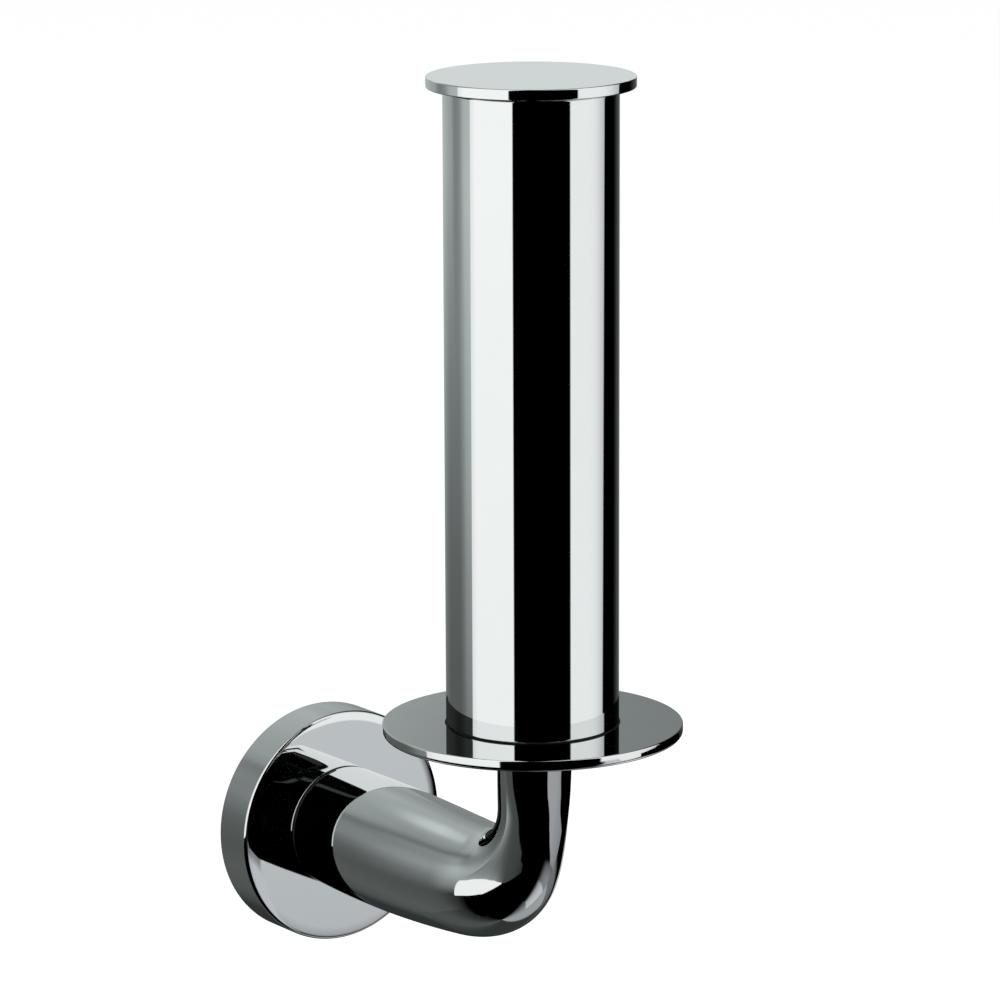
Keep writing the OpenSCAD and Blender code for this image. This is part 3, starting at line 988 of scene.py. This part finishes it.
    @staticmethod
    def low_left(azimuth, rise):
        """A small white card low in front of the elbow, with a grey one over it and a black one under it."""
        top = azimuth.curve((-92, 34), (-86, 32.5), (-80, 29.7), (-74, 26.5), (-68, 22.7), (-62, 19.2),
                            (-56, 14.7), (-50, 10.7), (-44, 6.5), (-38, 4.5), (-26, 1.5), (-12, 0))
        foot = azimuth.curve((-92, 18.8), (-86, 17.8), (-80, 15.5), (-74, 13.5), (-70, 11.5), (-62, 10.7),
                             (-48, 8.7))
        over = rise - top
        above = over.ramp(-0.3, 0.3)
        below = 1 - rise.past(foot, 0.3)
        white = 1.06 * (1 - above) * (1 - below) * (1 - azimuth.ramp(-49.5, -48.5))
        glow = over.curve((0, 1), (2, 0.75), (4.5, 0.42), (8, 0.12), (12, 0))
        glow = glow * azimuth.curve((-92, 0.38), (-84, 0.3), (-74, 0.28), (-62, 0.24), (-56, 0.16),
                                    (-50, 0.06), (-46, 0))
        edge = rise.curve((2, 88), (8, 86), (13, 78), (18, 76), (23, 67), (28, 57), (33, 49), (38, 42),
                          (43, 35), (50, 31))
        grey = azimuth.curve((-92, 0.085), (-44, 0.07), (-30, 0.06), (-12, 0.03))
        grey = grey * (1 - (azimuth + 100).past(edge, 1.5))
        haze = azimuth.curve((-92, 0.04), (-84, 0)) * below
        return white + above * (glow + grey) + haze

    @staticmethod
    def low_right(azimuth, rise):
        """The grey card low on the right that draws the strip up the stem, and a dim one under it."""
        start = rise.curve((12, 92), (15, 84), (17, 81), (20, 74), (23, 66.5), (26, 61), (29, 57), (32, 52.5),
                           (35, 50), (38, 47), (41, 43), (44, 39), (48, 37))
        stop = rise.curve((32, 110), (35, 97), (38, 88), (41, 85), (44, 84), (48, 81))
        strip = azimuth.past(start, 1) * (1 - azimuth.past(stop, 1.5)) * rise.ramp(13, 17)
        strip = strip * azimuth.curve((45, 0.42), (66, 0.41), (76, 0.37), (92, 0.34), (100, 0.3), (108, 0.28))
        streak = azimuth.curve((56, 0), (64, 0.07), (72, 0.19), (80, 0.23), (92, 0.28), (108, 0.28))
        streak = streak * (1 - rise.ramp(12, 17))
        streak = streak * rise.curve((-5, 2.3), (-2, 1), (6, 1), (11, 0.75), (15, 0.65))
        lip = 0.5 * rise.ramp(54, 57) * azimuth.band(28, 56, 5)
        return strip + streak + lip

    @staticmethod
    def cards(azimuth, z):
        """White cards left and right of the camera, the dimmer sheets below them and one far glint."""
        left = azimuth.band(-80.5, -19.6, 0.8) * z.ramp(-0.054, -0.050)
        left = left * z.curve((-0.05, 1.06), (0.1, 1.12), (0.2, 1.12))
        left = left * (1 - 0.12 * azimuth.ramp(-70, -80))
        drop = azimuth.curve((48, 0.034), (62, 0.034), (68, 0.045), (72, 0.052), (78, 0.058), (84, 0.06),
                             (90, 0.045), (102, 0.045))
        lit = (z + drop).ramp(-0.002, 0.002)
        right = azimuth.ramp(47.8, 49.6) * lit
        right = right * azimuth.curve((49, 1.0), (75, 1.0), (82, 0.97), (90, 0.86), (97, 0.72), (100, 0.66))
        right = right * (1 - (azimuth + (0.05 - z) * 22).ramp(99.5, 102))
        sheet = azimuth.curve((50, 0), (53, 0.62), (60, 0.68), (80, 0.66), (84, 0))
        sheet = sheet * z.curve((-0.18, 0), (-0.17, 0.35), (-0.15, 0.7), (-0.13, 0.9), (-0.08, 1))
        beside = azimuth.curve((88, 0), (92, 0.34), (100, 0.33), (104, 0.3), (112, 0.27), (114, 0))
        beside = beside * (1 - (z + 0.105 + (azimuth - 96) * 0.0022).ramp(-0.004, 0.004))
        beside = beside * (1 - (azimuth - 112 - (z + 0.14) * 130).ramp(-2, 2))
        under = azimuth.curve((96, 0), (102, 0.19), (114, 0.2), (126, 0.19), (138, 0.16), (144, 0.12),
                              (150, 0.07), (180, 0.04)) * (1 - z.ramp(-0.2, -0.165))
        glint = 0.6 * azimuth.band(152, 172, 3) * z.band(-0.145, -0.095, 0.01)
        return left + right + (1 - lit) * (sheet + beside) + under + glint

    @staticmethod
    def rear(azimuth, z):
        """The folded grey cloth behind the left card, the dark one behind the wall, a pale patch high up."""
        low = azimuth.curve((-180, 1.9), (-165, 1.8), (-150, 1.35), (-135, 1.0), (-105, 1.0), (-97, 1.45),
                            (-91, 2.1), (-82, 2.4))
        high = azimuth.curve((-180, 0.8), (-165, 1.35), (-150, 1.3), (-120, 1.0), (-112, 0.85), (-105, 0.95),
                             (-97, 1.25), (-82, 1.4))
        foot = azimuth.curve((-180, 0.03), (-150, 0.04), (-135, 0.1), (-120, 0.12), (-105, 0.1), (-97, 0.09),
                             (-84, 0.04))
        share = z.ramp(0, 0.14)
        cloth = low * (1 - share) + high * share
        cloth = cloth * z.curve((-0.1, 0.1), (-0.03, 0.125), (0, 0.15), (0.04, 0.22), (0.08, 0.32),
                                (0.1, 0.38), (0.16, 0.38), (0.24, 0.34), (0.3, 0.42), (0.36, 0.3),
                                (0.42, 0.25))
        fold = (azimuth + 112 - (z - 0.18) * 120).curve((-14, 0), (-7, 0.37), (-3, 0.84), (0, 1), (3, 0.84),
                                                        (7, 0.37), (14, 0))
        cloth = cloth * (1 - 0.35 * fold * z.ramp(0.11, 0.15) * (1 - z.ramp(0.24, 0.3)))
        cloth = cloth * (1 - 0.25 * azimuth.band(-120, -97, 5) * z.band(0.08, 0.15, 0.03))
        rise = (z - azimuth.curve((-105, 0), (-97, 0.012))).ramp(-0.13, -0.03)
        cloth = (cloth * rise + foot * (1 - rise)) * (1 - azimuth.ramp(-81.5, -79.5))
        behind = azimuth.curve((127, 0), (135, 0.02), (142, 0.06), (150, 0.07), (157, 0.2), (165, 0.23),
                               (180, 0.28)) * z.ramp(-0.06, -0.03)
        over = azimuth.band(-160, -132, 7) * z.band(0.275, 0.36, 0.02)
        return cloth + behind + 0.25 * over

    @staticmethod
    def ground(azimuth):
        """What the floor throws back, brighter on the right."""
        return azimuth.curve((-180, 0.04), (-165, 0.045), (-150, 0.06), (-135, 0.09), (-120, 0.095),
                             (-105, 0.08), (-90, 0.045), (-75, 0.02), (-60, 0), (45, 0), (60, 0.1),
                             (75, 0.22), (90, 0.33), (102, 0.4), (117, 0.42), (136, 0.42), (144, 0.04),
                             (180, 0.04))

    @staticmethod
    def light_room(scene, size):
        """A white room for the camera, and an even light from all round."""
        scene.world, graph = with_nodes(bpy.data.worlds, "studio")
        camera_ray = graph.node("ShaderNodeLightPath", output="Is Camera Ray")
        strength = camera_ray + (1 - camera_ray) * size.room_light
        shader = graph.node("ShaderNodeBackground", None, {"Color": WHITE, "Strength": strength})
        graph.node("ShaderNodeOutputWorld", None, {"Surface": shader})


class HOLDER_PT_panel(bpy.types.Panel):
    """Lists the steps that make the holder"""
    bl_idname = "HOLDER_PT_panel"
    bl_label = "Toilet paper holder"
    bl_space_type = "VIEW_3D"
    bl_region_type = "UI"
    bl_category = "Holder"

    def draw(self, context):
        for step in STEPS:
            self.layout.operator(step.bl_idname)
        for name in GROUPS:
            group = getattr(context.scene, name)
            box = self.layout.box()
            for key in group.bl_rna.properties.keys():
                if key not in ("name", "rna_type"):
                    box.prop(group, key)


GROUPS = {
    "holder_post": PostSizes,
    "holder_rosette": RosetteSizes,
    "holder_arm": ArmSizes,
    "holder_studio": StudioSizes,
    "holder_colours": FinishColours,
}
STEPS = (HOLDER_OT_studio, HOLDER_OT_rosette, HOLDER_OT_arm, HOLDER_OT_post, HOLDER_OT_fittings)


def register():
    for kind in (*GROUPS.values(), *STEPS, HOLDER_PT_panel):
        bpy.utils.register_class(kind)
    for name, kind in GROUPS.items():
        setattr(bpy.types.Scene, name, PointerProperty(type=kind))


def unregister():
    for name in GROUPS:
        delattr(bpy.types.Scene, name)
    for kind in (HOLDER_PT_panel, *reversed(STEPS), *reversed(GROUPS.values())):
        bpy.utils.unregister_class(kind)


def main():
    """Run every step in order."""
    register()
    for step in STEPS:
        group, name = step.bl_idname.split(".")
        getattr(getattr(bpy.ops, group), name)()


if __name__ == "__main__":
    main()
